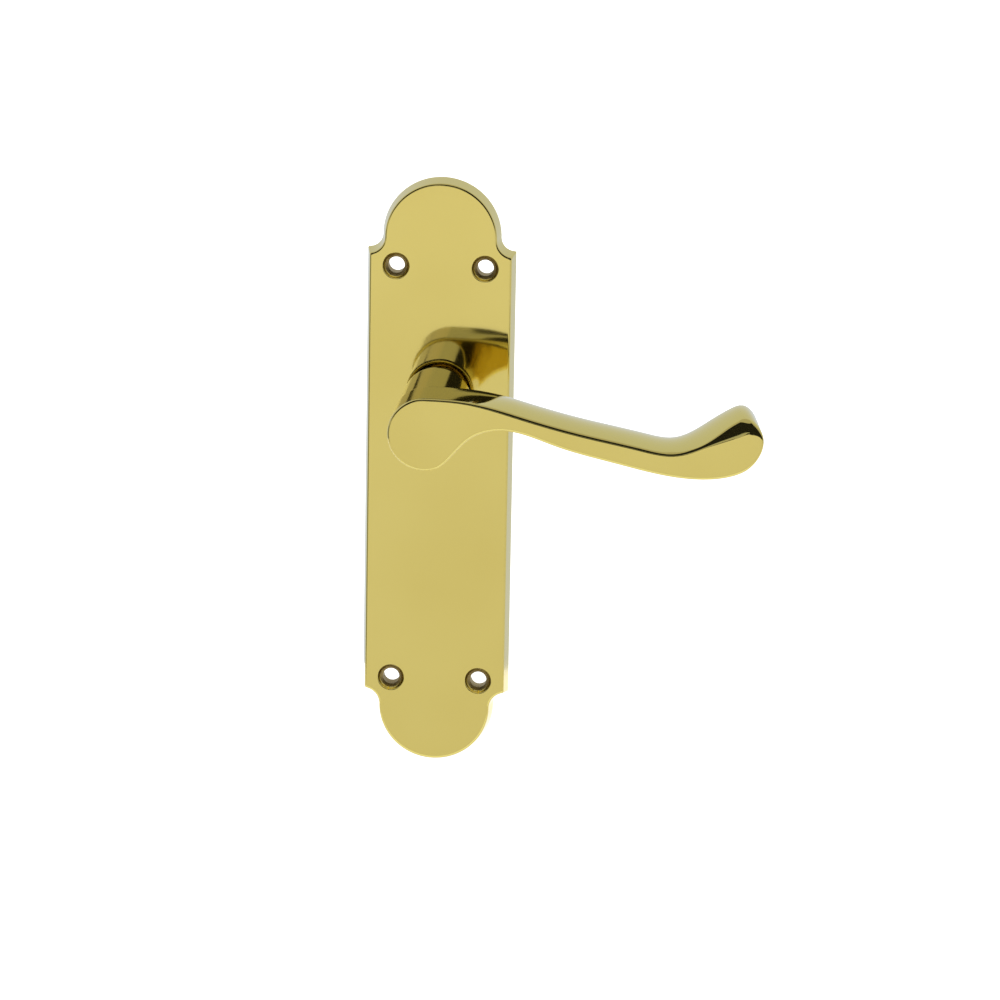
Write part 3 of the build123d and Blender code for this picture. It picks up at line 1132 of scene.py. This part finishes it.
@dataclass
class HiddenHardware:
    """The steel and plastic pieces behind the plate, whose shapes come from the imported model."""

    finishes: Finishes

    def dress(self) -> None:
        """Gives each carried-over piece its finish."""
        plan = {
            "hub_bush": self.finishes.acetal,
            "rest_stop_pin": self.finishes.plated,
            "limit_stop_pin": self.finishes.plated,
            "spring_anchor_pin": self.finishes.plated,
            "drive_cam": self.finishes.plated,
            "disc_spring_washer": self.finishes.spring,
            "circlip": self.finishes.spring,
            "spindle": self.finishes.plated,
        }
        for name, material in plan.items():
            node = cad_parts[name]
            node.data.materials.clear()
            node.data.materials.append(material)
            LOG.info("%s dressed in %s", name, material.name)


@dataclass(frozen=True)
class Card:
    """One plain card bent round the object: its edges in degrees, its distance in metres and its glow."""

    name: str
    azimuths: Point
    elevations: Point
    distance: float
    glow: float


@dataclass(frozen=True)
class Softbox:
    """One rectangular soft light: its place, where it points, its size in metres and its watts."""

    name: str
    place: Triple
    aim: Triple
    size: Point
    power: float


@dataclass
class Studio:
    """Plain pale floor, soft lights, cards that are seen only in reflections, and the camera."""

    floor_drop: float = 300.0 * MM
    floor_size: float = 8.0
    floor_tones: tuple[Triple, Triple] = ((0.93, 0.93, 0.92), (0.95, 0.95, 0.94))
    surround: tuple[float, float, float, float] = (1.0, 1.0, 0.985, 1.0)
    surround_strength: float = 0.54
    card_glow: tuple[float, float, float, float] = (0.94, 1.0, 1.06, 1.0)
    card_body: tuple[float, float, float, float] = (0.01, 0.01, 0.01, 1.0)
    cards: tuple[Card, ...] = (
        Card("dark_card", (-5.5, 70.0), (0.0, 62.0), 1.3, 0.01),
        Card("gap_card", (-14.0, 7.5), (13.5, 20.0), 1.2, 0.5),
        Card("under_card", (-50.0, 50.0), (-62.0, -34.0), 0.42, 1.25),
        Card("high_card", (-64.0, -5.5), (20.0, 62.0), 1.3, 0.01),
        Card("low_card", (-64.0, -15.0), (3.0, 20.0), 1.3, 0.01),
        Card("side_card", (-105.0, -30.0), (-32.0, -4.0), 1.1, 0.3),
        Card("rear_card", (97.0, 263.0), (-45.0, 62.0), 1.1, 0.72),
    )
    softboxes: tuple[Softbox, ...] = (
        Softbox("backdrop", (0.0, 1.9, 1.3), (0.0, 1.5, -0.4), (3.4, 1.6), 60.0),
        Softbox("front", (-0.3, -2.5, 1.4), (0.0, -2.1, -0.4), (1.6, 0.9), 15.0),
    )
    target: Triple = (17.33 * MM, -5.0 * MM, -28.49 * MM)
    distance: float = 1.4004
    azimuth: float = 4.5
    elevation: float = 16.0
    roll: float = 1.078
    lens: float = 184.35

    def floor(self, lowest: float) -> None:
        """Lays the floor.

        Args:
            lowest: the object's lowest Z.
        """
        deselect_all()
        bpy.ops.mesh.primitive_plane_add(size=self.floor_size, location=(0.0, 0.0, lowest - self.floor_drop))
        floor = bpy.context.active_object
        floor.name = "studio_floor"
        nodes = NodeBuilder("studio_floor")
        grain = nodes.remap(nodes.noise(3.0, 2.0), 0.0, 1.0)
        nodes.link(nodes.blend(grain, *self.floor_tones), nodes.shader.inputs["Base Color"])
        nodes.shader.inputs["Roughness"].default_value = 0.9
        nodes.shader.inputs["Specular IOR Level"].default_value = 0.0
        floor.data.materials.append(nodes.material)
        floor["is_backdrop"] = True

    def direction(self, azimuth: float, elevation: float) -> Vector:
        """Unit direction from the object.

        Args:
            azimuth: degrees to the right of straight in front.
            elevation: degrees above level.

        Returns:
            The direction.
        """
        turn, rise = math.radians(azimuth), math.radians(elevation)
        return Vector((math.sin(turn) * math.cos(rise), -math.cos(turn) * math.cos(rise), math.sin(rise)))

    def hang_card(self, plan: Card) -> None:
        """Bends one card round the object.

        Args:
            plan: the card's name, edges, distance and glow.
        """
        deselect_all()
        bpy.ops.mesh.primitive_grid_add(x_subdivisions=24, y_subdivisions=16, size=2.0)
        card = bpy.context.active_object
        card.name = plan.name
        left, right = plan.azimuths
        low, high = plan.elevations
        for vert in card.data.vertices:
            elevation = low + (high - low) * (vert.co.y + 1) / 2
            azimuth = left + (right - left) * (vert.co.x + 1) / 2
            vert.co = self.direction(azimuth, elevation) * plan.distance
        nodes = NodeBuilder(plan.name)
        nodes.shader.inputs["Base Color"].default_value = self.card_body
        nodes.shader.inputs["Emission Color"].default_value = self.card_glow
        nodes.shader.inputs["Emission Strength"].default_value = plan.glow
        nodes.shader.inputs["Roughness"].default_value = 1.0
        nodes.shader.inputs["Specular IOR Level"].default_value = 0.0
        card.data.materials.append(nodes.material)
        card.visible_camera = False
        card.visible_diffuse = False
        card.visible_shadow = False
        card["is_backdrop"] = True

    def hang_softbox(self, plan: Softbox) -> None:
        """Hangs one soft light, which reflections don't show.

        Args:
            plan: the light's name, place, aim, size and power.
        """
        light = bpy.data.lights.new(plan.name, "AREA")
        light.shape = "RECTANGLE"
        light.size, light.size_y = plan.size
        light.energy = plan.power
        lamp = bpy.data.objects.new(plan.name, light)
        bpy.context.scene.collection.objects.link(lamp)
        lamp.location = plan.place
        lamp.rotation_euler = (Vector(plan.aim) - Vector(plan.place)).to_track_quat("-Z", "Y").to_euler()
        lamp.visible_glossy = False

    def pale_surround(self) -> None:
        """Puts an even pale light all round."""
        world = bpy.data.worlds.new("pale_surround")
        world.use_nodes = True
        background = world.node_tree.nodes["Background"]
        background.inputs["Color"].default_value = self.surround
        background.inputs["Strength"].default_value = self.surround_strength
        bpy.context.scene.world = world

    def camera(self) -> None:
        """Aims the camera at the target, with its small roll."""
        back = self.direction(self.azimuth, self.elevation)
        right = Vector((0.0, 0.0, 1.0)).cross(back).normalized()
        up = back.cross(right)
        turn = math.radians(self.roll)
        rolled_right = right * math.cos(turn) + up * math.sin(turn)
        rolled_up = up * math.cos(turn) - right * math.sin(turn)
        data = bpy.data.cameras.new("camera")
        data.lens = self.lens
        data.clip_end = 50.0
        camera = bpy.data.objects.new("camera", data)
        bpy.context.scene.collection.objects.link(camera)
        turned = Matrix((rolled_right, rolled_up, back)).transposed().to_4x4()
        camera.matrix_world = Matrix.Translation(Vector(self.target) + back * self.distance) @ turned
        bpy.context.scene.camera = camera

    def build(self, lowest: float) -> None:
        """Sets up everything that isn't part of the object.

        Args:
            lowest: the object's lowest Z.
        """
        self.floor(lowest)
        for card in self.cards:
            self.hang_card(card)
        self.pale_surround()
        for softbox in self.softboxes:
            self.hang_softbox(softbox)
        self.camera()
        bpy.context.scene.view_settings.view_transform = "Standard"


def main() -> None:
    """Builds the handle piece by piece, then the studio round it."""
    logging.basicConfig(level=logging.INFO)
    packed = [list(corner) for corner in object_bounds()]
    finishes = Finishes()
    builders: list[tuple[str, Callable[[], bpy.types.Object]]] = [
        ("backplate", Backplate(finishes).build),
        ("lever", Lever(finishes).build),
        ("return spring", ReturnSpring(finishes).build),
    ]
    for label, build in builders:
        piece = build()
        LOG.info("%s: %d faces", label, len(piece.data.polygons))
    HiddenHardware(finishes).dress()
    Studio().build(packed[0][2])


if __name__ == "__main__":
    main()
